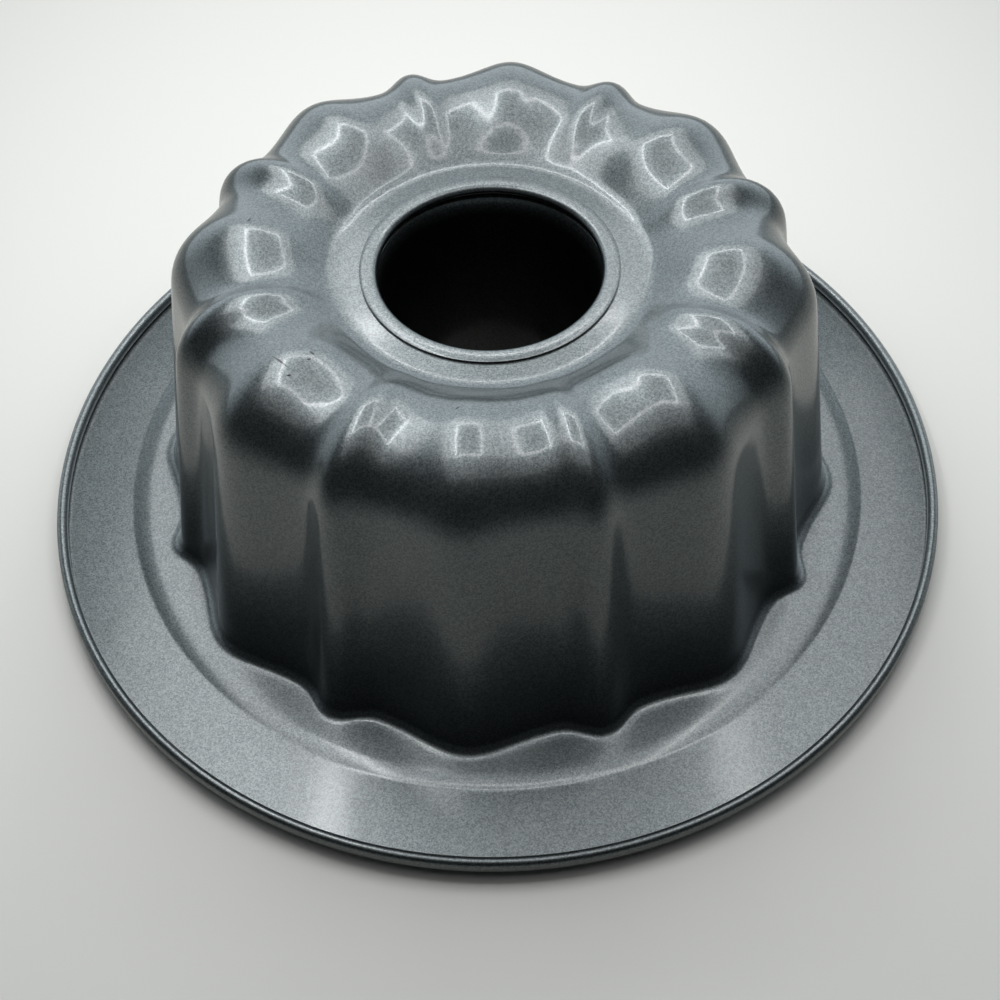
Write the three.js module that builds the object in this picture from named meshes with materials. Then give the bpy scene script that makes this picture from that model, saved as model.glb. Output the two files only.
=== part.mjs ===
import * as THREE from "three";

// Driving dimensions in millimetres. The pan stands mouth down on the end of its tube:
// +Z up, the origin on the axis at the level of the table. The other heights are taken
// from the underside of the flange at its step, FLANGE_HEIGHT over the table.
const OVERALL_DIAMETER = 304.8;
const SHEET = 0.9;
const FLANGE_HEIGHT = 5;

// Rolled rim: the sheet turns up, over and back down, and stops short of the flange.
const ROLL_WIDTH = 3.6;
const ROLL_HEIGHT = 5.1;
const ROLL_BEND_RADIUS = 1.3;
const ROLL_LIP_GAP = 0.3;

// Raised apron round the feet of the flutes, and the flange, which falls to the rim.
const STEP_RADIUS = 125.7;
const STEP_WIDTH = 2.4;
const STEP_RISE = 0.8;
const FLANGE_FALL = 0.7;

// Section of the shell through the crown of a wide flute.
const FOOT_RADIUS = 113.6;
const FOOT_FILLET = 4;
const DRAFT_ANGLE = 9;
const SHOULDER_FILLET = 26.4;
const RISE_ANGLE = 40.2;
const FOLD_RADIUS = 49.6;
const FOLD_FILLET = 8;
const RING_HEIGHT = 97.7;

// Flutes pressed into that section; angles in degrees, shares are parts of one.
const PERIODS = 8;
const FIRST_NARROW_ANGLE = -73.5;
const NARROW_HALF_ANGLE = 6.9;
const FLUTE_DEPTH = 6.9;
const FLUTE_ROOT_RADIUS = 23.4;
const FLUTE_RUN_IN_INSET = 3;
const FLUTE_RUN_IN_LENGTH = 12;
const NARROW_HEIGHT_SHARE = 0.777;
const WIDE_SHAPE = { crownShare: 0.3, valleyShare: 0.87, roundShare: 0.27 };
const NARROW_SHAPE = { crownShare: 0.33, valleyShare: 0.71, roundShare: 0.5 };

// Centre tube, seated on the crown ring and swaged out below it.
const TUBE_SHEET = 0.7;
const SEAT_GAP = 0.3;
const TUBE_FLANGE_RADIUS = 39.8;
const THROAT_RADIUS = 34.3;
const LIP_RADIUS = 2;
const RING_HOLE_RADIUS = 37;
const SWAGE_RADIUS = 36.4;
const SWAGE_HOLLOW = 1;
const TUBE_END_RADIUS = 27.5;
const HEM_RADIUS = 1.3;
const HEM_LEG = 1;

// Facets: columns round the axis and steps along each curve.
const NARROW_COLUMNS = 3;
const WIDE_COLUMNS = 5;
const TUBE_COLUMNS = 40;
const SHOULDER_STEPS = 8;
const FOLD_STEPS = 2;
const FOOT_STEPS = 3;
const BEND_STEPS = 2;
const ROLL_STEPS = 6;
const LIP_STEPS = 3;
const SWAGE_STEPS = 3;
const HEM_STEPS = 4;

const RIM_RADIUS = OVERALL_DIAMETER / 2;
const FLANGE_START = STEP_RADIUS + STEP_WIDTH / 2;
const FLANGE_END = RIM_RADIUS - ROLL_BEND_RADIUS;
const APRON_HEIGHT = SHEET + STEP_RISE;
const RIGHT_ANGLE = 90;
const FULL_TURN = 360;
const PERIOD_ANGLE = FULL_TURN / PERIODS;
const HALF_PERIOD = PERIOD_ANGLE / 2;

const radians = THREE.MathUtils.degToRad;

// Points [radius, height] along an arc, angles in degrees from the outward direction.
function arc([centreRadius, centreHeight], radius, from, to, steps) {
  return Array.from({ length: steps + 1 }, (_, i) => {
    const angle = radians(from + ((to - from) * i) / steps);
    return [centreRadius + radius * Math.cos(angle), centreHeight + radius * Math.sin(angle)];
  });
}

// Circle of points about the axis, one to each azimuth.
function circle([radius, height], azimuths) {
  return azimuths.map((azimuth) => {
    const angle = radians(azimuth);
    return new THREE.Vector3(radius * Math.cos(angle), radius * Math.sin(angle), height);
  });
}

// Azimuths of the shell's columns: crowns and valleys fall on a column.
function shellAzimuths() {
  const narrow = Array.from({ length: NARROW_COLUMNS }, (_, i) => (NARROW_HALF_ANGLE * i) / NARROW_COLUMNS);
  const wide = Array.from(
    { length: WIDE_COLUMNS + 1 },
    (_, i) => NARROW_HALF_ANGLE + ((HALF_PERIOD - NARROW_HALF_ANGLE) * i) / WIDE_COLUMNS,
  );
  const half = [...narrow, ...wide];
  const mirrored = half.slice(1, -1).reverse().map((offset) => PERIOD_ANGLE - offset);
  return Array.from({ length: PERIODS }, (_, period) =>
    [...half, ...mirrored].map((offset) => FIRST_NARROW_ANGLE + period * PERIOD_ANGLE + offset),
  ).flat();
}

// Fall of a flute from its crown, 1 at t = 0, to the valley beside it, 0 at t = 1.
function fluteFall(t, { crownShare, valleyShare, roundShare }) {
  const softened = Math.hypot(t, crownShare) - crownShare;
  const along = softened / (Math.hypot(1, crownShare) - crownShare);
  const flank = (s) => (1 - roundShare) * s + roundShare * s * s;
  const slope = 1 - roundShare + 2 * roundShare * (1 - valleyShare);
  const whole = flank(1 - valleyShare) + (slope * valleyShare) / 2;
  if (along < 1 - valleyShare) return 1 - flank(along) / whole;
  return (slope * (1 - along) ** 2) / (2 * valleyShare * whole);
}

// Height of the fluted skin at an azimuth: 0 in a valley, 1 on a wide crown.
function fluteHeight(azimuth) {
  const turned = azimuth - FIRST_NARROW_ANGLE + HALF_PERIOD;
  const offset = Math.abs(turned - PERIOD_ANGLE * Math.floor(turned / PERIOD_ANGLE) - HALF_PERIOD);
  if (offset < NARROW_HALF_ANGLE) {
    return NARROW_HEIGHT_SHARE * fluteFall(offset / NARROW_HALF_ANGLE, NARROW_SHAPE);
  }
  return fluteFall((HALF_PERIOD - offset) / (HALF_PERIOD - NARROW_HALF_ANGLE), WIDE_SHAPE);
}

// Stations on the fillet between two straight runs; headings in degrees from outward.
function fillet([cornerRadius, cornerHeight], headingIn, headingOut, radius, steps) {
  const turn = headingOut - headingIn;
  const side = Math.sign(turn);
  const setback = radius * Math.tan(radians(Math.abs(turn)) / 2);
  const heading = radians(headingIn);
  const centreRadius = cornerRadius - setback * Math.cos(heading) - side * radius * Math.sin(heading);
  const centreHeight = cornerHeight - setback * Math.sin(heading) + side * radius * Math.cos(heading);
  return Array.from({ length: steps + 1 }, (_, i) => {
    const angle = radians(headingIn + (turn * i) / steps);
    return {
      radius: centreRadius + side * radius * Math.sin(angle),
      height: centreHeight - side * radius * Math.cos(angle),
      normal: [-Math.sin(angle), Math.cos(angle)],
    };
  });
}

// Sink of the valleys below the wide crowns, which grows outwards from the crown ring.
function valleySink(radius) {
  const runIn = (radius - FOLD_RADIUS + FLUTE_RUN_IN_INSET) / FLUTE_RUN_IN_LENGTH;
  const grown = (radius - FLUTE_ROOT_RADIUS) / (FOOT_RADIUS - FLUTE_ROOT_RADIUS);
  return FLUTE_DEPTH * grown * THREE.MathUtils.smoothstep(runIn, 0, 1);
}

// Stations of the wide crown's section from the fold at the ring down to the apron,
// each with the way its valleys sink: square to the skin, or level along the foot.
function shellStations() {
  const wallHeading = DRAFT_ANGLE - RIGHT_ANGLE;
  const riseSlope = Math.tan(radians(RISE_ANGLE));
  const draftSlope = Math.tan(radians(DRAFT_ANGLE));
  const footHeight = APRON_HEIGHT;
  const crownRadius =
    (FOOT_RADIUS + draftSlope * (footHeight - RING_HEIGHT + FOLD_RADIUS * riseSlope)) /
    (1 + draftSlope * riseSlope);
  const crownHeight = RING_HEIGHT + (crownRadius - FOLD_RADIUS) * riseSlope;
  const square = [
    ...fillet([FOLD_RADIUS, RING_HEIGHT], 0, RISE_ANGLE, FOLD_FILLET, FOLD_STEPS),
    ...fillet([crownRadius, crownHeight], RISE_ANGLE, wallHeading, SHOULDER_FILLET, SHOULDER_STEPS),
  ].map(({ radius, height, normal }) => {
    const sink = valleySink(radius);
    return { radius, height, sink: normal.map((part) => sink * part) };
  });
  const level = fillet([FOOT_RADIUS, footHeight], wallHeading, 0, FOOT_FILLET, FOOT_STEPS).map(
    ({ radius, height }) => ({ radius, height, sink: [FLUTE_DEPTH / Math.cos(radians(DRAFT_ANGLE)), 0] }),
  );
  return [...square, ...level];
}

// Row of the fluted outer skin at one station.
function flutedRow({ radius, height, sink }, azimuths) {
  return azimuths.map((azimuth) => {
    const sunk = 1 - fluteHeight(azimuth);
    const angle = radians(azimuth);
    const reach = radius - sink[0] * sunk;
    return new THREE.Vector3(reach * Math.cos(angle), reach * Math.sin(angle), height - sink[1] * sunk);
  });
}

// Inner skin: every point moved one sheet thickness in, square to the outer skin.
function innerRows(rows) {
  const down = new THREE.Vector3(0, 0, -SHEET);
  return rows.map((row, i) => {
    if (i === 0 || i === rows.length - 1) return row.map((point) => point.clone().add(down));
    return row.map((point, j) => {
      const along = rows[i + 1][j].clone().sub(rows[i - 1][j]);
      const round = row[(j + 1) % row.length].clone().sub(row[(j + row.length - 1) % row.length]);
      const inward = round.cross(along).setLength(SHEET);
      return point.clone().add(inward);
    });
  });
}

// Height of the flange's underside, which falls evenly from the step to the rim.
function flangeUnderside(radius) {
  return (-FLANGE_FALL * (radius - FLANGE_START)) / (FLANGE_END - FLANGE_START);
}

// Rolled rim's profile on the sheet's outside, or inset by the sheet on its inside.
function rollProfile(inset) {
  const bendCentre = [FLANGE_END, ROLL_BEND_RADIUS - FLANGE_FALL];
  const rollCentre = [RIM_RADIUS - ROLL_WIDTH / 2, ROLL_HEIGHT - FLANGE_FALL - ROLL_WIDTH / 2];
  const lipRadius = RIM_RADIUS - ROLL_WIDTH + inset;
  return [
    ...arc(bendCentre, ROLL_BEND_RADIUS - inset, -RIGHT_ANGLE, 0, BEND_STEPS),
    ...arc(rollCentre, ROLL_WIDTH / 2 - inset, 0, 2 * RIGHT_ANGLE, ROLL_STEPS),
    [lipRadius, flangeUnderside(RIM_RADIUS - ROLL_WIDTH) + SHEET + ROLL_LIP_GAP],
  ];
}

// Tube's profile from flange edge to hem, on the bore side or offset to the outside.
function tubeProfile(offset) {
  const top = RING_HEIGHT + SEAT_GAP + TUBE_SHEET;
  const lipCentre = [THROAT_RADIUS + LIP_RADIUS, top - LIP_RADIUS];
  const swageHeight = RING_HEIGHT - SHEET - SEAT_GAP - SWAGE_HOLLOW - TUBE_SHEET;
  const swageHalf = SWAGE_HOLLOW + offset;
  const hemCentre = [TUBE_END_RADIUS + HEM_RADIUS, HEM_RADIUS - FLANGE_HEIGHT];
  const hemHalf = HEM_RADIUS - offset;
  return [
    [TUBE_FLANGE_RADIUS, top - offset],
    ...arc(lipCentre, LIP_RADIUS - offset, RIGHT_ANGLE, 2 * RIGHT_ANGLE, LIP_STEPS),
    [THROAT_RADIUS + offset, swageHeight + swageHalf],
    ...arc([SWAGE_RADIUS, swageHeight], swageHalf, RIGHT_ANGLE, -RIGHT_ANGLE, SWAGE_STEPS),
    [THROAT_RADIUS + offset, swageHeight - swageHalf],
    ...arc(hemCentre, hemHalf, 2 * RIGHT_ANGLE, FULL_TURN, HEM_STEPS),
    [hemCentre[0] + hemHalf, hemCentre[1] + HEM_LEG],
  ];
}

// Triangles between two neighbouring rows, which may differ two to one in columns.
function bandTriangles(inner, outer) {
  const count = Math.max(inner.length, outer.length);
  const at = (row, j) => {
    const column = (j * row.length) / count;
    return row[Math.floor(column) % row.length];
  };
  const triangles = [];
  for (let j = 0; j < count; j += 2) {
    const [a0, a1, a2] = [j, j + 1, j + 2].map((column) => at(inner, column));
    const [b0, b1, b2] = [j, j + 1, j + 2].map((column) => at(outer, column));
    if (inner.length === outer.length) {
      triangles.push([a0, b0, b1], [a0, b1, a1], [a1, b1, b2], [a1, b2, a2]);
    } else if (inner.length > outer.length) {
      triangles.push([a0, b0, a1], [a1, b0, b2], [a1, b2, a2]);
    } else {
      triangles.push([a0, b0, b1], [a0, b1, a2], [a2, b1, b2]);
    }
  }
  return triangles;
}

// Closed sheet: rows run out along one side and back along the other.
function sheetMesh(name, rows, material) {
  const triangles = rows.flatMap((row, i) => bandTriangles(row, rows[(i + 1) % rows.length]));
  const geometry = new THREE.BufferGeometry().setFromPoints(triangles.flat());
  geometry.translate(0, 0, FLANGE_HEIGHT);
  geometry.computeVertexNormals();
  const mesh = new THREE.Mesh(geometry, material);
  mesh.name = name;
  return mesh;
}

function coatedSteel() {
  return new THREE.MeshStandardMaterial({ color: 0x666a6d, roughness: 0.45, metalness: 0.7 });
}

// Fluted shell: crown ring, flutes, apron, flange and rolled rim in one pressed sheet.
function flutedShell() {
  const azimuths = shellAzimuths();
  const halved = azimuths.filter((_, i) => i % 2 === 0);
  const outer = shellStations().map((station) => flutedRow(station, azimuths));
  const apron = [STEP_RADIUS - STEP_WIDTH / 2, APRON_HEIGHT];
  const flange = [FLANGE_START, SHEET];
  const upper = [apron, flange, ...rollProfile(SHEET)];
  const under = [[apron[0], apron[1] - SHEET], [flange[0], 0], ...rollProfile(0)];
  const rows = [
    circle([RING_HOLE_RADIUS, RING_HEIGHT], halved),
    ...outer,
    ...upper.map((point) => circle(point, halved)),
    ...under.reverse().map((point) => circle(point, halved)),
    ...innerRows(outer).reverse(),
    circle([RING_HOLE_RADIUS, RING_HEIGHT - SHEET], halved),
  ];
  return sheetMesh("fluted_shell", rows, coatedSteel());
}

// Centre tube: seat flange, rounded lip, swaged bead, tapering bore and hemmed end.
function centreTube() {
  const azimuths = Array.from({ length: TUBE_COLUMNS }, (_, i) => (FULL_TURN * i) / TUBE_COLUMNS);
  const loop = [...tubeProfile(0).reverse(), ...tubeProfile(TUBE_SHEET)];
  const rows = loop.map((point) => circle(point, azimuths));
  return sheetMesh("centre_tube", rows, coatedSteel());
}

const pan = new THREE.Group();
pan.name = "fluted_tube_pan";
pan.add(flutedShell());
pan.add(centreTube());

export default pan;
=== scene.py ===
from math import atan2, cos, degrees, hypot, pi, radians, sin, tan

import bmesh
import bpy
from bpy.props import FloatProperty, FloatVectorProperty, IntProperty, PointerProperty
from bpy.types import Operator, Panel, PropertyGroup
from mathutils import Matrix, Vector


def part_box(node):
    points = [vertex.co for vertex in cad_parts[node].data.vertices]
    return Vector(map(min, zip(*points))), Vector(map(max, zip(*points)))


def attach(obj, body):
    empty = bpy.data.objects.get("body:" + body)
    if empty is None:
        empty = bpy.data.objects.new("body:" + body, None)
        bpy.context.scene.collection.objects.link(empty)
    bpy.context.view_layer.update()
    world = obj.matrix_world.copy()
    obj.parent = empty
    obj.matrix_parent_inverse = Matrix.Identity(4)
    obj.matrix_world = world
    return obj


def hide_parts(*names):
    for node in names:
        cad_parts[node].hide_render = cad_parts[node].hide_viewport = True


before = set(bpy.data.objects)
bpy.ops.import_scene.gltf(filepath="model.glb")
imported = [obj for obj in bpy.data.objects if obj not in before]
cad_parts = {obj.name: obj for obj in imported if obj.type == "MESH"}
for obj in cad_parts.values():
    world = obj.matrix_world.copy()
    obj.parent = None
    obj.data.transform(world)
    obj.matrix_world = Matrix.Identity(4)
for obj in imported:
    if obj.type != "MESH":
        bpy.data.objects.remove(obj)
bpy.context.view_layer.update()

bl_info = {
    "name": "Fluted tube pan",
    "version": (1, 0, 0),
    "blender": (4, 5, 0),
    "location": "View3D > Sidebar > Tube pan",
    "description": "Builds a fluted tube pan with its non-stick coating, and its table",
    "category": "Object",
}

FULL_TURN = 2 * pi
RIM_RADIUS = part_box("fluted_shell")[1][0]

# rows of faces along the shell's section
FOLD_ROWS, SHOULDER_ROWS, WALL_ROWS, FOOT_ROWS = 5, 15, 6, 5
RIM_BEND_ROWS, ROLL_ROWS = 3, 6
# rows of faces along the tube's section
LIP_ROWS, BEAD_ROWS, BORE_ROWS, HEM_ROWS = 6, 6, 8, 8
# width of the first row of faces round the hole in the crown ring
RING_EDGE = 0.002
# places across the bend at the apron's edge, from its start to the crease
BEND_SHARES = (0.0, 0.25, 0.5, 0.7, 0.85, 0.96)
# edges of the flange's rows: distances outside the crease, and one inside the rim's bend
CREASE_GAPS = (0.0003, 0.0008, 0.003)
RIM_GAP = 0.005

# size of the plane that becomes a profile's first vertex
SEED_SIZE = 0.001
# distances in the mesh that count as none: to a row's place, between vertices, and of a move
SAME_PLACE, SAME_VERTEX, NO_MOVE = 1e-5, 1e-6, 1e-7
# degrees of bend from which an edge stays sharp in the shading
SHARP_BEND = 40

# small scuffs on the crown: centre, turn about the axis in degrees, half length, half width
SCUFFS = (
    ((-0.0593, -0.0474, 0.1148), -45, 0.0029, 0.0003),
    ((-0.0506, -0.0438, 0.1138), -40, 0.0009, 0.0004),
    ((-0.0513, -0.0463, 0.1141), 25, 0.0006, 0.0003),
    ((-0.0566, -0.0521, 0.1140), 10, 0.0006, 0.0003),
    ((-0.0721, 0.0108, 0.1146), 65, 0.0010, 0.0003),
    ((-0.0099, -0.0654, 0.1135), 45, 0.0008, 0.0003),
)
# how far a scuff reaches above and below its centre, and the part of its size that fades out
SCUFF_REACH = 0.002
SCUFF_FADE_SHARE = 0.3

TABLE_SIZE = 6.0
# millimetres, as a lens is measured
PICTURE_WIDTH = 36.0


def length(name, description, default):
    """A length in metres that a user can change."""
    return FloatProperty(
        name=name,
        description=description,
        default=default,
        subtype="DISTANCE",
        unit="LENGTH",
        precision=5,
    )


def angle(name, description, default):
    """An angle that a user can change, given here in degrees."""
    return FloatProperty(
        name=name,
        description=description,
        default=radians(default),
        subtype="ANGLE",
        unit="ROTATION",
    )


def share(name, description, default):
    """A number from 0 to 1 that a user can change."""
    return FloatProperty(
        name=name,
        description=description,
        default=default,
        min=0.0,
        max=1.0,
        subtype="FACTOR",
        precision=3,
    )


def linear(code):
    """Linear colour of an sRGB hex code such as "8a8f93"."""
    parts = [int(code[i : i + 2], 16) / 255 for i in (0, 2, 4)]
    return tuple(p / 12.92 if p <= 0.04045 else ((p + 0.055) / 1.055) ** 2.4 for p in parts)


def colour(name, description, code):
    """A colour that a user can change, given here as an sRGB hex code."""
    return FloatVectorProperty(
        name=name,
        description=description,
        default=linear(code),
        min=0.0,
        max=1.0,
        size=3,
        subtype="COLOR",
    )


class PanShellSizes(PropertyGroup):
    """Sizes of the pressed shell; heights are taken from the flange's underside at the step"""

    sheet: length("Sheet", "Thickness of the pressed sheet", 0.0009)
    lift: length("Lift", "Flange's underside above the table", 0.005)
    columns: IntProperty(name="Columns", description="Faces round the shell", default=208, min=64)
    ring_height: length("Ring height", "Crown ring above the flange's underside", 0.09769)
    ring_hole: length("Ring hole", "Radius of the hole that the tube passes", 0.037)
    ring_slope: angle("Ring slope", "Slight fall of the crown ring from its hole to the fold", 4.0)
    fold_radius: length("Fold radius", "Where the crown ring folds up", 0.0496)
    fold_fillet: length("Fold fillet", "Radius of that fold", 0.008)
    rise: angle("Rise", "Slope from the ring up to the crowns", 40.2)
    shoulder_fillet: length("Shoulder", "Radius over the crowns", 0.0264)
    draft: angle("Draft", "Lean of the wall", 9.0)
    foot_radius: length("Foot radius", "Where the wide flutes meet the apron", 0.1136)
    foot_fillet: length("Foot fillet", "Radius along the foot", 0.004)
    step_radius: length("Step radius", "Crease between the apron's edge and the flange", 0.1263)
    step_rise: length("Step rise", "Height of the apron over the flange", 0.0008)
    apron_bend: length("Apron bend", "Width of the apron's edge that bends to the crease", 0.0064)
    flange_fall: length("Flange fall", "Fall of the flange from the step to the rim", 0.0007)
    roll_width: length("Roll width", "Width of the rolled rim", 0.0036)
    roll_height: length("Roll height", "Height of the rolled rim", 0.0051)
    roll_bend: length("Roll bend", "Radius of the bend from flange to roll", 0.0013)
    roll_gap: length("Roll gap", "Gap between the roll's lip and the flange", 0.0003)


class PanFluteSizes(PropertyGroup):
    """Shape of the flutes pressed into the shell"""

    periods: IntProperty(name="Periods", description="Wide flutes round the pan", default=8, min=3)
    first: angle("First narrow flute", "Azimuth of one narrow flute", -73.5)
    narrow_half: angle("Narrow half width", "From a narrow crown to the valley beside it", 6.9)
    depth: length("Depth", "Valleys below the wide crowns, at the foot", 0.0069)
    root_radius: length("Root radius", "Where the depth would start from nothing", 0.0234)
    run_in_inset: length("Run-in inset", "Start of the flutes inside the fold", 0.003)
    run_in: length("Run-in", "Length over which the flutes start", 0.022)
    narrow_height: share("Narrow height", "Narrow crowns against wide ones", 0.777)
    wide_crown: share("Wide crown", "Softness of the wide crowns", 0.3)
    wide_valley: share("Wide valley", "Part of the wide flank that eases into the valley", 0.87)
    wide_round: share("Wide roundness", "Bulge of the wide flank", 0.27)
    narrow_crown: share("Narrow crown", "Softness of the narrow crowns", 0.33)
    narrow_valley: share("Narrow valley", "Part of the narrow flank that eases down", 0.71)
    narrow_round: share("Narrow roundness", "Bulge of the narrow flank", 0.5)


class PanTubeSizes(PropertyGroup):
    """Sizes of the centre tube"""

    sheet: length("Sheet", "Thickness of the tube's sheet", 0.0007)
    columns: IntProperty(name="Columns", description="Faces round the tube", default=128, min=32)
    flange_radius: length("Flange radius", "Edge of the flange on the crown ring", 0.0398)
    throat_radius: length("Throat radius", "Bore below the rounded lip", 0.0343)
    lip_radius: length("Lip radius", "Rounding from the flange into the bore", 0.002)
    seat_gap: length("Seat gap", "Clearance between flange and crown ring", 0.0003)
    swage_radius: length("Swage radius", "Centre of the bead that locks the tube in", 0.0364)
    swage_hollow: length("Swage hollow", "Inner radius of that bead", 0.001)
    end_radius: length("End radius", "Bore at the lower end", 0.0275)
    hem_radius: length("Hem radius", "Outer radius of the hem", 0.0013)
    hem_leg: length("Hem leg", "Height of the hem's turned-up edge", 0.001)


class PanCoating(PropertyGroup):
    """Colours and grain of the non-stick coating. Real flakes are under a tenth of a
    millimetre, and the grain is drawn as coarse as it needs to show"""

    ground: colour("Ground", "Dark ground of the coating", "2e3538")
    fleck: colour("Fleck", "Light flecks in the coating", "868e90")
    scuff: colour("Scuff", "Small worn marks on the crown", "15191b")
    flake_size: length("Flake size", "Width of one flake", 0.0003846)
    clump_size: length("Clump size", "Width of a clump of flakes", 0.0005882)
    clump_height: length("Clump height", "Height of the clumps in the surface", 0.00003)
    clumping: share("Clumping", "Part that the clumps have in the colour", 0.3)
    softness: share("Softness", "Contrast that is held back between fleck and ground", 0.2)
    wave_size: length("Wave size", "Width of the slow waves in the pressed sheet", 0.01667)
    wave_height: length("Wave height", "Height of those waves", 0.00008)
    # painted shade inside the tube: the share of the colour kept on the wall of the bore, and the
    # radius over which it darkens
    bore_shade_keep: share("Bore cover", "Part of the colour left on the wall of the bore", 0.2)
    bore_shade_fade: length("Bore fade", "Radius over which that wall darkens", 0.022)


class PanStage(PropertyGroup):
    """Table, lamps and camera"""

    table: colour("Table", "Pale table top, as it lights the pan", "c4c4be")
    backdrop: colour("Backdrop", "Pale table top, as the picture shows it", "f4f4f0")
    tent: FloatVectorProperty(
        name="Tent",
        description="Cool tint of the soft light that surrounds the pan",
        default=(0.86, 0.95, 1.0),
        min=0.0,
        max=1.0,
        size=3,
        subtype="COLOR",
    )
    lamp_height: length("Lamp height", "Lamp frame above the table", 0.44)
    place: FloatVectorProperty(
        name="Camera place",
        description="Where the camera stands",
        default=(0.001, -0.3508, 0.4453),
        size=3,
        subtype="TRANSLATION",
        unit="LENGTH",
    )
    focal: FloatProperty(name="Focal length", description="Lens, in millimetres", default=57.6)
    elevation: angle("Camera elevation", "Slope of the view down to the pan", 52.64)
    roll: angle("Camera roll", "Turn of the picture", -1.68)


# Mesh work

def deselect_all():
    """Leaves edit mode and selects nothing."""
    if bpy.context.object and bpy.context.object.mode != "OBJECT":
        bpy.ops.object.mode_set(mode="OBJECT")
    bpy.ops.object.select_all(action="DESELECT")


def between(start, end, rows):
    """Points that divide the straight line between two points into rows."""
    return [tuple(a + (b - a) * i / rows for a, b in zip(start, end)) for i in range(1, rows)]


def arc(centre, radius, start, end, rows):
    """Points (radius, height) along an arc, angles in degrees from the outward direction."""
    turns = [radians(start + (end - start) * i / rows) for i in range(rows + 1)]
    return [(centre[0] + radius * cos(t), centre[1] + radius * sin(t)) for t in turns]


def fillet(corner, heading_in, heading_out, radius, rows):
    """Points on the fillet at a corner, each with the skin's outward direction."""
    turn = heading_out - heading_in
    side = 1 if turn > 0 else -1
    setback = radius * tan(abs(turn) / 2)
    centre = (
        corner[0] - setback * cos(heading_in) - side * radius * sin(heading_in),
        corner[1] - setback * sin(heading_in) + side * radius * cos(heading_in),
    )
    stations = []
    for i in range(rows + 1):
        t = heading_in + turn * i / rows
        point = (centre[0] + side * radius * sin(t), centre[1] - side * radius * cos(t))
        stations.append((point, (-sin(t), cos(t))))
    return stations


def draw_profile(name, points, azimuth):
    """Draws a profile at one azimuth: a vertex is extruded from point to point."""
    deselect_all()
    out = Vector((cos(azimuth), sin(azimuth), 0))
    places = [out * r + Vector((0, 0, z)) for r, z in points]
    bpy.ops.mesh.primitive_plane_add(size=SEED_SIZE, location=places[0])
    piece = bpy.context.object
    piece.name = name
    bpy.ops.object.transform_apply(location=True, rotation=True, scale=True)
    bpy.ops.object.mode_set(mode="EDIT")
    bpy.ops.mesh.select_all(action="SELECT")
    bpy.ops.mesh.merge(type="CENTER")
    for here, there in zip(places, places[1:]):
        bpy.ops.mesh.extrude_region_move(TRANSFORM_OT_translate={"value": there - here})
    return piece


def spin_profile(columns):
    """Revolves the drawn profile about the pan's axis and closes the seam."""
    bpy.ops.mesh.select_all(action="SELECT")
    bpy.ops.mesh.spin(steps=columns, angle=FULL_TURN, center=(0, 0, 0), axis=(0, 0, 1))
    bpy.ops.mesh.select_all(action="SELECT")
    bpy.ops.mesh.remove_doubles(threshold=SAME_VERTEX)
    bpy.ops.mesh.select_all(action="SELECT")
    bpy.ops.mesh.normals_make_consistent(inside=False)


def face_up(piece, radius):
    """Turns the skin so that its flat at the given radius faces up."""
    mesh = bmesh.from_edit_mesh(piece.data)
    nearest = min(mesh.faces, key=lambda f: abs(f.calc_center_median().xy.length - radius))
    if nearest.normal.z < 0:
        bpy.ops.mesh.select_all(action="SELECT")
        bpy.ops.mesh.flip_normals()


def lift(height):
    """Moves the whole skin up."""
    bpy.ops.mesh.select_all(action="SELECT")
    bpy.ops.transform.translate(value=(0, 0, height))


def thicken(piece, thickness):
    """Gives the skin its sheet thickness, rounds it and smooths its shading."""
    bpy.ops.object.mode_set(mode="OBJECT")
    solidify = piece.modifiers.new("Sheet", "SOLIDIFY")
    solidify.thickness = thickness
    solidify.offset = -1
    solidify.use_even_offset = True
    bpy.ops.object.modifier_apply(modifier="Sheet")
    rounding = piece.modifiers.new("Rounding", "SUBSURF")
    rounding.levels = 1
    rounding.render_levels = 1
    bpy.ops.object.modifier_apply(modifier="Rounding")
    bpy.ops.object.shade_smooth_by_angle(angle=radians(SHARP_BEND))


# The shell's section and its flutes

def valley_sink(shell, flutes, radius):
    """Sink of the valleys below the wide crowns at a point of the section."""
    start = shell.fold_radius - flutes.run_in_inset
    t = min(max((radius - start) / flutes.run_in, 0), 1)
    grown = (radius - flutes.root_radius) / (shell.foot_radius - flutes.root_radius)
    return flutes.depth * grown * t * t * (3 - 2 * t)


def flank_fall(t, crown, valley, bulge):
    """Fall of a flute from 1 on its crown to 0 in the valley beside it."""
    along = (hypot(t, crown) - crown) / (hypot(1, crown) - crown)

    def flank(s):
        return (1 - bulge) * s + bulge * s * s

    slope = 1 - bulge + 2 * bulge * (1 - valley)
    whole = flank(1 - valley) + slope * valley / 2
    if along < 1 - valley:
        return 1 - flank(along) / whole
    return slope * (1 - along) ** 2 / (2 * valley * whole)


def flute_height(flutes, offset):
    """Height of the skin at an angle from the nearest narrow crown: 1 on a wide crown."""
    if offset < flutes.narrow_half:
        t = offset / flutes.narrow_half
        fall = flank_fall(t, flutes.narrow_crown, flutes.narrow_valley, flutes.narrow_round)
        return flutes.narrow_height * fall
    half_period = pi / flutes.periods
    t = (half_period - offset) / (half_period - flutes.narrow_half)
    return flank_fall(t, flutes.wide_crown, flutes.wide_valley, flutes.wide_round)


def section_corners(shell, apron):
    """Corners of the section where the ring folds up and where the rise meets the wall."""
    rise, lean, dish = tan(shell.rise), tan(shell.draft), tan(shell.ring_slope)
    fold_radius = (shell.fold_radius * rise + shell.ring_hole * dish) / (rise + dish)
    fold = (fold_radius, shell.ring_height - (fold_radius - shell.ring_hole) * dish)
    drop = apron - shell.ring_height + shell.fold_radius * rise
    crown_radius = (shell.foot_radius + lean * drop) / (1 + lean * rise)
    crown = (crown_radius, shell.ring_height + (crown_radius - shell.fold_radius) * rise)
    return fold, crown


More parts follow.
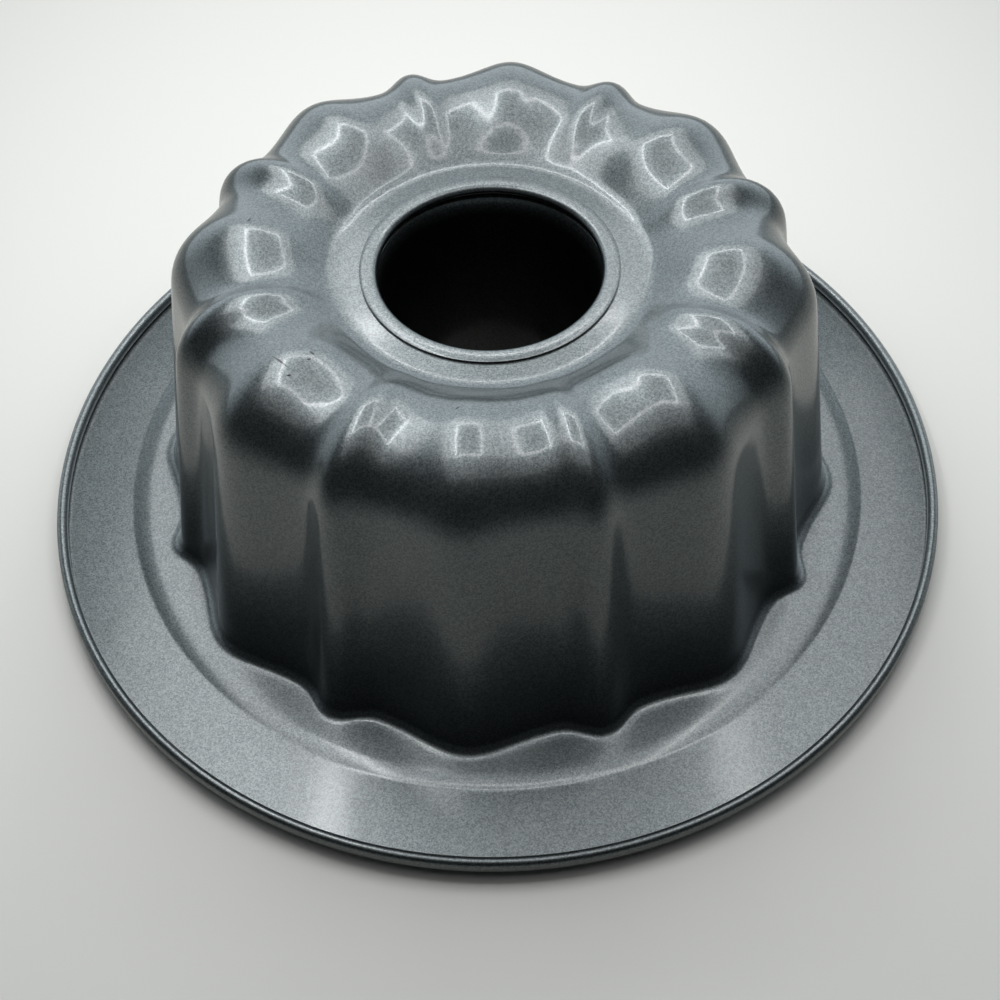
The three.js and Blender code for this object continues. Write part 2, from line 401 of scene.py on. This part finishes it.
def fluted_section(shell, flutes):
    """Stations from the fold down to the apron: point, and how far its valleys sink."""
    wall = shell.draft - pi / 2
    apron = shell.sheet + shell.step_rise
    fold, crown = section_corners(shell, apron)
    over = fillet(fold, -shell.ring_slope, shell.rise, shell.fold_fillet, FOLD_ROWS)
    over += fillet(crown, shell.rise, wall, shell.shoulder_fillet, SHOULDER_ROWS)
    foot = fillet((shell.foot_radius, apron), wall, 0, shell.foot_fillet, FOOT_ROWS)
    stations = []
    for point, (out, up) in over:
        sink = valley_sink(shell, flutes, point[0])
        stations.append((point, (sink * out, sink * up)))
    level = (flutes.depth / cos(shell.draft), 0)
    top, bottom = stations[-1], (foot[0][0], level)
    stations += zip(*(between(a, b, WALL_ROWS) for a, b in zip(top, bottom)))
    return stations + [(point, level) for point, _ in foot]


def flange_section(shell):
    """Apron, which bends down to its crease with the flange, and flange, which falls to the rim."""
    crease, end = shell.step_radius, RIM_RADIUS - shell.roll_bend
    bend, slope = shell.apron_bend, shell.flange_fall / (end - crease)
    apron = [
        (crease - (1 - t) * bend, shell.sheet + (1 - t * t) * shell.step_rise)
        for t in BEND_SHARES
    ]
    gaps = (*CREASE_GAPS, end - RIM_GAP - crease)
    return apron + [(crease + gap, shell.sheet - gap * slope) for gap in gaps]


def roll_section(shell):
    """Inner side of the rolled rim, from the flange to the roll's lip."""
    fall = shell.flange_fall
    roll_centre = RIM_RADIUS - shell.roll_width / 2
    bend = (RIM_RADIUS - shell.roll_bend, shell.roll_bend - fall)
    roll = (roll_centre, shell.roll_height - fall - shell.roll_width / 2)
    lip = (RIM_RADIUS - shell.roll_width + shell.sheet, shell.sheet + shell.roll_gap - fall)
    return [
        *arc(bend, shell.roll_bend - shell.sheet, -90, 0, RIM_BEND_ROWS),
        *arc(roll, shell.roll_width / 2 - shell.sheet, 0, 180, ROLL_ROWS),
        lip,
    ]


def station_rows(mesh, stations):
    """Groups the spun skin's vertices by the station of the section that they come from."""
    rows = [[] for _ in stations]
    for vert in mesh.verts:
        out, up = vert.co.xy.length, vert.co.z
        gaps = [hypot(out - r, up - z) for (r, z), _ in stations]
        nearest = min(gaps)
        if nearest < SAME_PLACE:
            rows[gaps.index(nearest)].append(vert)
    return rows


def flute_columns(row, flutes):
    """Groups a row's vertices by their angle from the nearest narrow crown, in degrees."""
    period = FULL_TURN / flutes.periods
    columns = {}
    for vert in row:
        turned = (atan2(vert.co.y, vert.co.x) - flutes.first) % period
        offset = round(degrees(min(turned, period - turned)), 2)
        columns.setdefault(offset, []).append(vert)
    return columns


def press_flutes(piece, stations, flutes):
    """Presses the flutes in: each station's points sink by their place between crowns."""
    mesh = bmesh.from_edit_mesh(piece.data)
    for (point, sink), row in zip(stations, station_rows(mesh, stations)):
        for offset, verts in flute_columns(row, flutes).items():
            sunk = 1 - flute_height(flutes, radians(offset))
            if sunk * hypot(*sink) < NO_MOVE:
                continue
            bpy.ops.mesh.select_all(action="DESELECT")
            for vert in verts:
                vert.select_set(True)
            mesh.select_flush_mode()
            nearer = 1 - sink[0] * sunk / point[0]
            bpy.ops.transform.resize(value=(nearer, nearer, 1), center_override=(0, 0, 0))
            bpy.ops.transform.translate(value=(0, 0, -sink[1] * sunk))
            mesh = bmesh.from_edit_mesh(piece.data)


def tube_section(shell, tube):
    """Inner side of the tube: seat flange, lip, bead below the ring, tapering bore and hem."""
    top = shell.ring_height + tube.seat_gap + tube.sheet
    under_ring = shell.ring_height - shell.sheet - tube.seat_gap
    bead = under_ring - tube.swage_hollow - tube.sheet
    lip = (tube.throat_radius + tube.lip_radius, top - tube.lip_radius)
    hem = (tube.end_radius + tube.hem_radius, tube.hem_radius - shell.lift)
    throat = [
        *arc(lip, tube.lip_radius, 90, 180, LIP_ROWS),
        (tube.throat_radius, bead + tube.swage_hollow),
        *arc((tube.swage_radius, bead), tube.swage_hollow, 90, -90, BEAD_ROWS),
        (tube.throat_radius, bead - tube.swage_hollow),
    ]
    end = arc(hem, tube.hem_radius, 180, 360, HEM_ROWS)
    taper = between(throat[-1], end[0], BORE_ROWS)
    edge = (end[-1][0], end[-1][1] + tube.hem_leg)
    return [(tube.flange_radius, top), *throat, *taper, *end, edge]


# Materials

def add_node(tree, kind, settings=None, inputs=None):
    """Adds one node with its settings, and sets or links its inputs."""
    node = tree.nodes.new(kind)
    for key, value in (settings or {}).items():
        setattr(node, key, value)
    for key, value in (inputs or {}).items():
        if isinstance(value, bpy.types.NodeSocket):
            tree.links.new(value, node.inputs[key])
        else:
            node.inputs[key].default_value = value
    return node


def paint_bore_shade(tree, paint, coating):
    """Paints shade on the wall that faces the axis: the colour darkens towards the inside of the
    tube, standing in for the shade that falls there.
    """
    place = add_node(tree, "ShaderNodeTexCoord").outputs
    # minus the radius on the wall of the bore, and more than nothing on the seat flange
    facing = add_node(
        tree,
        "ShaderNodeVectorMath",
        {"operation": "DOT_PRODUCT"},
        {0: place["Normal"], 1: place["Object"]},
    )
    # share of the colour kept, lower on the wall of the bore: painted shade
    unshaded_share = add_node(
        tree,
        "ShaderNodeMapRange",
        inputs={
            "Value": facing.outputs["Value"],
            "From Min": -coating.bore_shade_fade,
            "From Max": 0.0,
            "To Min": coating.bore_shade_keep,
        },
    )
    return add_node(
        tree,
        "ShaderNodeMix",
        {"data_type": "RGBA", "blend_type": "MULTIPLY"},
        {"Factor": 1.0, "A": paint, "B": unshaded_share.outputs["Result"]},
    ).outputs["Result"]


def scuff(tree, paint, worn):
    """Darkens the small scuffs on the crown, where the coating is rubbed off its flakes."""
    place = add_node(tree, "ShaderNodeTexCoord").outputs["Object"]
    for centre, turn, half_length, half_width in SCUFFS:
        local = add_node(
            tree,
            "ShaderNodeMapping",
            {"vector_type": "TEXTURE"},
            {
                "Vector": place,
                "Location": centre,
                "Rotation": (0, 0, radians(turn)),
                "Scale": (half_length, half_width, SCUFF_REACH),
            },
        )
        far = add_node(
            tree, "ShaderNodeVectorMath", {"operation": "LENGTH"}, {0: local.outputs["Vector"]}
        )
        inside = add_node(
            tree,
            "ShaderNodeMapRange",
            inputs={
                "Value": far.outputs["Value"],
                "From Min": 1 + SCUFF_FADE_SHARE,
                "From Max": 1 - SCUFF_FADE_SHARE,
            },
        )
        paint = add_node(
            tree,
            "ShaderNodeMix",
            {"data_type": "RGBA"},
            {"Factor": inside.outputs["Result"], "A": paint, "B": (*worn, 1)},
        ).outputs["Result"]
    return paint


def flaked_paint(tree, place, clumps, coating):
    """Colour of light metal flakes in a dark binder: single flakes, and clumps of them."""
    flakes = add_node(
        tree, "ShaderNodeTexVoronoi", inputs={"Vector": place, "Scale": 1 / coating.flake_size}
    )
    single = add_node(
        tree, "ShaderNodeSeparateColor", inputs={"Color": flakes.outputs["Color"]}
    )
    grain = add_node(
        tree,
        "ShaderNodeMix",
        inputs={"Factor": coating.clumping, "A": single.outputs["Red"], "B": clumps},
    )
    shade = add_node(
        tree,
        "ShaderNodeMapRange",
        inputs={
            "Value": grain.outputs["Result"],
            "From Min": -coating.softness,
            "From Max": 1 + coating.softness,
        },
    )
    return add_node(
        tree,
        "ShaderNodeMix",
        {"data_type": "RGBA"},
        {
            "Factor": shade.outputs["Result"],
            "A": (*coating.ground, 1),
            "B": (*coating.fleck, 1),
        },
    ).outputs["Result"]


def bumps(tree, place, clumps, coating):
    """Surface of the coating: slow waves of the sheet alone, and with the grain on them."""
    sheet = add_node(
        tree,
        "ShaderNodeTexNoise",
        inputs={"Vector": place, "Scale": 1 / coating.wave_size, "Detail": 1.0},
    )
    waves = add_node(
        tree,
        "ShaderNodeBump",
        inputs={"Distance": coating.wave_height, "Height": sheet.outputs["Fac"]},
    ).outputs["Normal"]
    grains = add_node(
        tree,
        "ShaderNodeBump",
        inputs={"Distance": coating.clump_height, "Height": clumps, "Normal": waves},
    ).outputs["Normal"]
    return waves, grains


def nonstick_coating(coating, bore=False):
    """Sprayed and baked non-stick coating on pressed steel. Fine metal flakes in a dark
    binder give the broad satin glow with its grain, and the smooth skin of the coating
    over them gives the thin sharp reflections."""
    name = "Speckled non-stick coating"
    material = bpy.data.materials.new(name + " of the tube" if bore else name)
    material.use_nodes = True
    tree = material.node_tree
    tree.nodes.clear()
    place = add_node(tree, "ShaderNodeTexCoord").outputs["Object"]
    clumps = add_node(
        tree,
        "ShaderNodeTexNoise",
        inputs={"Vector": place, "Scale": 1 / coating.clump_size, "Detail": 1.0},
    ).outputs["Fac"]
    paint = flaked_paint(tree, place, clumps, coating)
    # the tube's bore gets painted shade on its wall; the shell gets its scuffs
    paint = paint_bore_shade(tree, paint, coating) if bore else scuff(tree, paint, coating.scuff)
    waves, grains = bumps(tree, place, clumps, coating)
    shader = add_node(
        tree,
        "ShaderNodeBsdfPrincipled",
        inputs={
            "Base Color": paint,
            "Metallic": 1.0,
            "Roughness": 0.4,
            "Coat Weight": 1.0,
            "Coat Roughness": 0.14,
            "Normal": grains,
            "Coat Normal": waves,
        },
    )
    add_node(tree, "ShaderNodeOutputMaterial", inputs={"Surface": shader.outputs["BSDF"]})
    return material


def white_sheet(stage):
    """Matt white sheet under the pan, paler to the camera than to the pan that it lights.
    It is rough all over, so the pan's shadow fades out on it with no reflection."""
    material = bpy.data.materials.new("Matt white sheet")
    material.use_nodes = True
    tree = material.node_tree
    shader = tree.nodes["Principled BSDF"]
    seen = add_node(tree, "ShaderNodeLightPath").outputs["Is Camera Ray"]
    top = add_node(
        tree,
        "ShaderNodeMix",
        {"data_type": "RGBA"},
        {"Factor": seen, "A": (*stage.table, 1), "B": (*stage.backdrop, 1)},
    )
    tree.links.new(top.outputs["Result"], shader.inputs["Base Color"])
    shader.inputs["Roughness"].default_value = 0.9
    shader.inputs["Specular IOR Level"].default_value = 0.2
    return material


# Operators

class PAN_OT_shell(Operator):
    """Model the fluted shell with its apron, flange and rolled rim"""

    bl_idname = "pan.shell"
    bl_label = "Fluted shell"

    def execute(self, context):
        shell, flutes = context.scene.pan_shell, context.scene.pan_flutes
        stations = fluted_section(shell, flutes)
        hole = (shell.ring_hole, shell.ring_height)
        ring = [hole, (shell.ring_hole + RING_EDGE, shell.ring_height)]
        skin = [point for point, _ in stations]
        points = ring + skin + flange_section(shell) + roll_section(shell)
        piece = draw_profile("shell", points, flutes.first)
        spin_profile(shell.columns)
        press_flutes(piece, stations, flutes)
        face_up(piece, (shell.step_radius + RIM_RADIUS) / 2)
        lift(shell.lift)
        thicken(piece, shell.sheet)
        piece.data.materials.append(nonstick_coating(context.scene.pan_coating))
        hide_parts("fluted_shell")
        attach(piece, "root")
        return {"FINISHED"}


class PAN_OT_tube(Operator):
    """Model the centre tube with its seat flange, locking bead and hem"""

    bl_idname = "pan.tube"
    bl_label = "Centre tube"

    def execute(self, context):
        shell, tube = context.scene.pan_shell, context.scene.pan_tube
        piece = draw_profile("tube", tube_section(shell, tube), 0)
        spin_profile(tube.columns)
        face_up(piece, tube.flange_radius)
        lift(shell.lift)
        thicken(piece, tube.sheet)
        piece.data.materials.append(nonstick_coating(context.scene.pan_coating, bore=True))
        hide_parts("centre_tube")
        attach(piece, "root")
        return {"FINISHED"}


class PAN_OT_stage(Operator):
    """Set the pale table, the soft lamps and the camera"""

    bl_idname = "pan.stage"
    bl_label = "Table, lamps and camera"

    def execute(self, context):
        stage = context.scene.pan_stage
        deselect_all()
        bpy.ops.mesh.primitive_plane_add(size=TABLE_SIZE, location=(0, 0, 0))
        table = context.object
        table.name = "table"
        table.data.materials.append(white_sheet(stage))
        self.lamps(stage.lamp_height)
        self.world(context.scene, stage.tent)
        self.camera(context.scene, stage)
        context.scene.view_settings.view_transform = "Standard"
        return {"FINISHED"}

    def lamps(self, height):
        """Hang a bright frame round a soft panel, with dimmer panels beyond it"""
        left, right, front, back = -0.115, 0.15, -0.075, 0.26
        across, along = right - left, back - front
        x, y = (left + right) / 2, (front + back) / 2
        strip, side, deep = 0.015, 0.16, 0.2
        above = height + 0.01
        # name, place, size across, size along, radiance
        rows = (
            ("front strip", (x, front, height), across, strip, 9.0),
            ("back strip", (x, back, height), across, strip, 16.0),
            ("left strip", (left, y, height), strip, along, 16.0),
            ("right strip", (right, y, height), strip, along, 9.0),
            ("panel", (x, y, above), across, along, 0.9),
            ("left panel", (left - side / 2, y + deep / 2, above), side, along + deep, 2.7),
            ("right panel", (right + side / 2, y + deep / 2, above), side, along + deep, 1.8),
            ("front panel", (x, front - deep / 2, above), across + 2 * side, deep, 0.55),
            ("back panel", (x, back + deep / 2, above), across, deep, 1.8),
        )
        for name, place, size_x, size_y, radiance in rows:
            bpy.ops.object.light_add(type="AREA", location=place)
            lamp = bpy.context.object
            lamp.name = name
            lamp.data.shape = "RECTANGLE"
            lamp.data.size = size_x
            lamp.data.size_y = size_y
            # a flat lamp that shines to one side gives off pi times its radiance and area
            lamp.data.energy = radiance * pi * size_x * size_y
            lamp.visible_camera = False

    def world(self, scene, tint):
        """Surround the pan with soft light: dim in front, bright behind and none from above"""
        world = bpy.data.worlds.new("Soft tent")
        world.use_nodes = True
        scene.world = world
        tree = world.node_tree
        tree.nodes.clear()
        way = add_node(tree, "ShaderNodeTexCoord").outputs["Generated"]
        split = add_node(tree, "ShaderNodeSeparateXYZ", inputs={"Vector": way})
        back = add_node(
            tree,
            "ShaderNodeMapRange",
            {"interpolation_type": "SMOOTHSTEP"},
            {
                "Value": split.outputs["Y"],
                "From Min": -0.1,
                "From Max": 0.7,
                "To Min": 0.04,
                "To Max": 1.3,
            },
        )
        # full below 24 degrees over the table's level and gone above 49, where the lamps hang
        low = add_node(
            tree,
            "ShaderNodeMapRange",
            {"interpolation_type": "SMOOTHSTEP"},
            {"Value": split.outputs["Z"], "From Min": 0.75, "From Max": 0.4},
        )
        strength = add_node(
            tree,
            "ShaderNodeMath",
            {"operation": "MULTIPLY"},
            {0: back.outputs["Result"], 1: low.outputs["Result"]},
        )
        light = add_node(
            tree,
            "ShaderNodeBackground",
            inputs={"Color": (*tint, 1), "Strength": strength.outputs["Value"]},
        )
        add_node(tree, "ShaderNodeOutputWorld", inputs={"Surface": light.outputs["Background"]})

    def camera(self, scene, stage):
        """Look down at the pan, with the picture turned slightly about the line of sight"""
        down = Matrix.Rotation(pi / 2 - stage.elevation, 3, "X")
        turn = down @ Matrix.Rotation(stage.roll, 3, "Z")
        bpy.ops.object.camera_add(location=stage.place, rotation=turn.to_euler())
        camera = bpy.context.object
        camera.data.lens = stage.focal
        camera.data.sensor_width = PICTURE_WIDTH
        camera.data.clip_start = 0.01
        scene.camera = camera


class PAN_PT_panel(Panel):
    """Lists the pan's pieces and its stage"""

    bl_idname = "PAN_PT_panel"
    bl_label = "Fluted tube pan"
    bl_space_type = "VIEW_3D"
    bl_region_type = "UI"
    bl_category = "Tube pan"

    def draw(self, context):
        for operator in ("pan.shell", "pan.tube", "pan.stage"):
            self.layout.operator(operator)


GROUPS = {
    "pan_shell": PanShellSizes,
    "pan_flutes": PanFluteSizes,
    "pan_tube": PanTubeSizes,
    "pan_coating": PanCoating,
    "pan_stage": PanStage,
}
CLASSES = (*GROUPS.values(), PAN_OT_shell, PAN_OT_tube, PAN_OT_stage, PAN_PT_panel)


def register():
    """Makes the classes known to Blender and hangs the sizes on the scene."""
    for cls in CLASSES:
        bpy.utils.register_class(cls)
    for name, group in GROUPS.items():
        setattr(bpy.types.Scene, name, PointerProperty(type=group))


def unregister():
    """Takes both away again."""
    for name in GROUPS:
        delattr(bpy.types.Scene, name)
    for cls in reversed(CLASSES):
        bpy.utils.unregister_class(cls)


def main():
    """Builds the pan and its stage."""
    register()
    bpy.ops.pan.shell()
    bpy.ops.pan.tube()
    bpy.ops.pan.stage()


if __name__ == "__main__":
    main()
